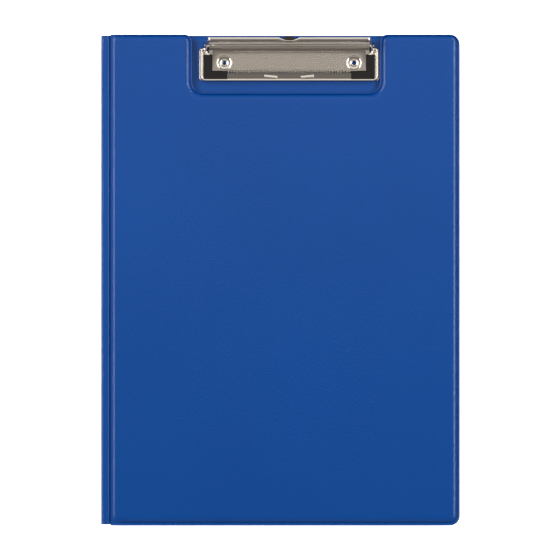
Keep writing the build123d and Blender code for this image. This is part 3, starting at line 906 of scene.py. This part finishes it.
install(lever_frame(bright_nickel), "clip_lever", "nickel_steel", "clip_lever")
for make_piece in (arm_lip, lever_ear, jaw_ramp):
    for side in (-1, 1):
        install(make_piece(side, bright_nickel), "clip_lever", "nickel_steel")
install(thumb_lever(bright_nickel), "clip_lever", "nickel_steel")

# Corner grips: L-shaped black rubber pads, moulded and pushed into the jaw's inner corners, where
# they grip the paper and keep it from turning.


def moulded_rubber():
    """Black moulded rubber: matt, with a very fine bloom."""
    material, tree, shader = new_material("black_moulded_rubber")
    place = add_node(tree, "ShaderNodeTexCoord").outputs["Object"]
    bloom = add_node(tree, "ShaderNodeTexNoise", {"Vector": place}, Scale=1500.0, Detail=2.0)
    bump = add_node(
        tree, "ShaderNodeBump", {"Height": bloom.outputs["Fac"]}, Strength=0.3, Distance=0.05 * MM
    )
    tree.links.new(bump.outputs["Normal"], shader.inputs["Normal"])
    shader.inputs["Base Color"].default_value = linear("#0d0b09")
    shader.inputs["Roughness"].default_value = 0.7
    shader.inputs["Specular IOR Level"].default_value = 0.25
    return material


rubber = moulded_rubber()
from_cad("grip_left", "corner_grip_left", rubber, "clip_lever", "black_rubber", bevel=0.2)
from_cad("grip_right", "corner_grip_right", rubber, "clip_lever", "black_rubber", bevel=0.2)

# Hanging tab: a steel strip with an eye, which slides out behind the thumb lever. Only
# its rounded tip shows while it is in. Its near-black colour is painted: it stands in for
# the dark surroundings that the tip's steep metal face reflects.
tip_length = 0.75
# Painted reflection: the tab's near-black base colour stands in for the dark surroundings its steep
# metal tip reflects.
dark_reflection_steel, _, dark_reflection_shader = new_material("painted_dark_reflection_steel")
dark_reflection_shader.inputs["Base Color"].default_value = linear("#2b2520")
dark_reflection_shader.inputs["Metallic"].default_value = 0.6
dark_reflection_shader.inputs["Roughness"].default_value = 0.4


def lengthen_tip(work):
    """Moves the tab's rounded tip out to where the photograph shows it."""
    for vert in work.verts:
        reach = vert.co.y / MM - rod_y
        vert.co.y += tip_length * MM * min(1.0, max(0.0, (reach - 1.0) / 4.0))


from_cad(
    "eye_tab", "hanging_tab", dark_reflection_steel, "hanging_tab", "dark_steel", bevel=0.15,
    adjust=lengthen_tip,
)

# Floor: a wide sheet of white paper, far enough under the folder for the cover to fold behind the
# board. It looks white to the camera and lights the folder less.
floor_half, floor_z = 3.0, -0.0045
floor_mesh = bpy.data.meshes.new("floor")
corners = ((-1, -1), (1, -1), (1, 1), (-1, 1))
floor_mesh.from_pydata(
    [(u * floor_half, v * floor_half, floor_z) for u, v in corners], [], [(0, 1, 2, 3)]
)
floor = bpy.data.objects.new("floor", floor_mesh)
bpy.context.scene.collection.objects.link(floor)
floor_paper, floor_tree, floor_shader = new_material("white_paper_floor")
floor_shader.inputs["Base Color"].default_value = linear("#f4f4f4")
floor_shader.inputs["Roughness"].default_value = 0.9
floor_shader.inputs["Emission Color"].default_value = (1, 1, 1, 1)
floor_glow = 0.75
seen = add_node(floor_tree, "ShaderNodeLightPath").outputs["Is Camera Ray"]
lift = add_node(floor_tree, "ShaderNodeMath", {0: seen}, operation="MULTIPLY")
lift.inputs[1].default_value = floor_glow
floor_tree.links.new(lift.outputs[0], floor_shader.inputs["Emission Strength"])
floor_mesh.materials.append(floor_paper)

# Light: a long soft box on each side, a little towards the clip, which draws thin highlights along
# the welds. The studio is pale overhead, past the clip, and dark towards the foot of the folder.


def soft_box(name, location, size, power):
    """An area lamp that faces the folder."""
    data = bpy.data.lights.new(name, "AREA")
    data.shape = "RECTANGLE"
    data.size, data.size_y = size
    data.energy = power
    lamp = bpy.data.objects.new(name, data)
    lamp.location = location
    aim = Vector((0, location[1], 0)) - Vector(location)
    lamp.rotation_euler = aim.to_track_quat("-Z", "Y").to_euler()
    bpy.context.scene.collection.objects.link(lamp)


box_size, box_power = (1.8, 0.36), 20
soft_box("left_box", (-1.0, 0.5, 0.7), box_size, box_power)
soft_box("right_box", (1.0, 0.5, 0.7), box_size, box_power)
world = bpy.data.worlds.new("studio")
world.use_nodes = True
sky = world.node_tree
way = add_node(sky, "ShaderNodeTexCoord").outputs["Generated"]
parts = add_node(sky, "ShaderNodeSeparateXYZ", {"Vector": way})


def graded(tree, value, steps):
    """A smooth step of a value: (from, to, level at from, level at to)."""
    node = add_node(tree, "ShaderNodeMapRange", {"Value": value}, interpolation_type="SMOOTHSTEP")
    for name, number in zip(("From Min", "From Max", "To Min", "To Max"), steps):
        node.inputs[name].default_value = number
    return node.outputs["Result"]


north = parts.outputs["Y"]
around = add_node(
    sky, "ShaderNodeMath",
    {
        0: graded(sky, north, (-0.35, 0.35, 0.18, 0.38)),
        1: graded(sky, north, (-0.7, -0.3, 0.3, 0.0)),
    },
    operation="ADD",
).outputs[0]
sideways = add_node(sky, "ShaderNodeMath", {0: parts.outputs["X"]}, operation="ABSOLUTE").outputs[0]
overhead = add_node(
    sky, "ShaderNodeMath",
    {
        0: graded(sky, north, (-0.08, 0.18, 0.0, 1.0)),
        1: graded(sky, north, (0.5, 0.7, 1.0, 0.0)),
    },
    operation="MULTIPLY",
).outputs[0]
cap = add_node(
    sky, "ShaderNodeMath", {0: overhead, 1: graded(sky, sideways, (0.2, 0.4, 1.0, 0.0))},
    operation="MULTIPLY",
).outputs[0]
overhead_level = 1.15
level = add_node(sky, "ShaderNodeMix", {"Factor": cap, "A": around})
level.inputs["B"].default_value = overhead_level
sky.links.new(level.outputs["Result"], sky.nodes["Background"].inputs["Strength"])
sky.nodes["Background"].inputs["Color"].default_value = linear("#fffaf4")
bpy.context.scene.world = world
bpy.context.scene.view_settings.view_transform = "Standard"
